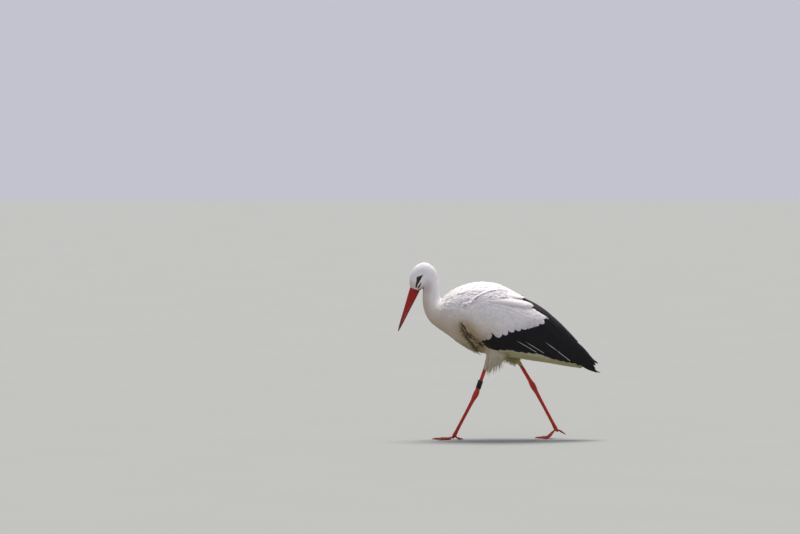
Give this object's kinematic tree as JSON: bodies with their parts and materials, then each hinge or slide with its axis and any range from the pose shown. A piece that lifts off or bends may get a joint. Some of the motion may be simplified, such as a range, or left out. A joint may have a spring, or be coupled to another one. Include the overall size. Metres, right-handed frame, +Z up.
{
  "type": "white stork",
  "caption": "Life-size standing model of a walking white stork with its head lowered, white body, black flight feathers, long red bill and legs, and a plain leg ring.",
  "frame": {"origin": "on the floor, under the middle of the bird's bounding box", "axes": "+Z is up, -X is the way the bird walks and looks, and +Y is the bird's right"},
  "size_m": [0.7604, 0.2184, 0.6736],
  "materials": {
    "white_plumage": "soft matte feathers",
    "black_plumage": "satin feathers with a faint blue gloss",
    "red_leg": "scaly, satin",
    "red_bill": "smooth horn, satin",
    "claw": "smooth horn, satin",
    "eye": "wet and glossy",
    "ring_plastic": "smooth, satin"
  },
  "bodies": {
    "root": {"bill_lower": "red_bill", "bill_upper": "red_bill", "claw_left_hind": "claw", "claw_left_inner": "claw", "claw_left_middle": "claw", "claw_left_outer": "claw", "claw_right_hind": "claw", "claw_right_inner": "claw", "claw_right_middle": "claw", "claw_right_outer": "claw", "coverts_left": "white_plumage", "coverts_right": "white_plumage", "eye_left": "eye", "eye_right": "eye", "head": "white_plumage", "leg_ring": "ring_plastic", "neck": "white_plumage", "primaries_left": "black_plumage", "primaries_right": "black_plumage", "scapulars_left": "white_plumage", "scapulars_right": "white_plumage", "secondaries_left": "black_plumage", "secondaries_right": "black_plumage", "shank_left": "red_leg", "shank_right": "red_leg", "shin_left": "red_leg", "shin_right": "red_leg", "tail": "white_plumage", "tertials_left": "black_plumage", "tertials_right": "black_plumage", "thigh_left": "white_plumage", "thigh_right": "white_plumage", "toe_left_hind": "red_leg", "toe_left_inner": "red_leg", "toe_left_middle": "red_leg", "toe_left_outer": "red_leg", "toe_right_hind": "red_leg", "toe_right_inner": "red_leg", "toe_right_middle": "red_leg", "toe_right_outer": "red_leg", "trunk": "white_plumage"}
  },
  "joints": []
}
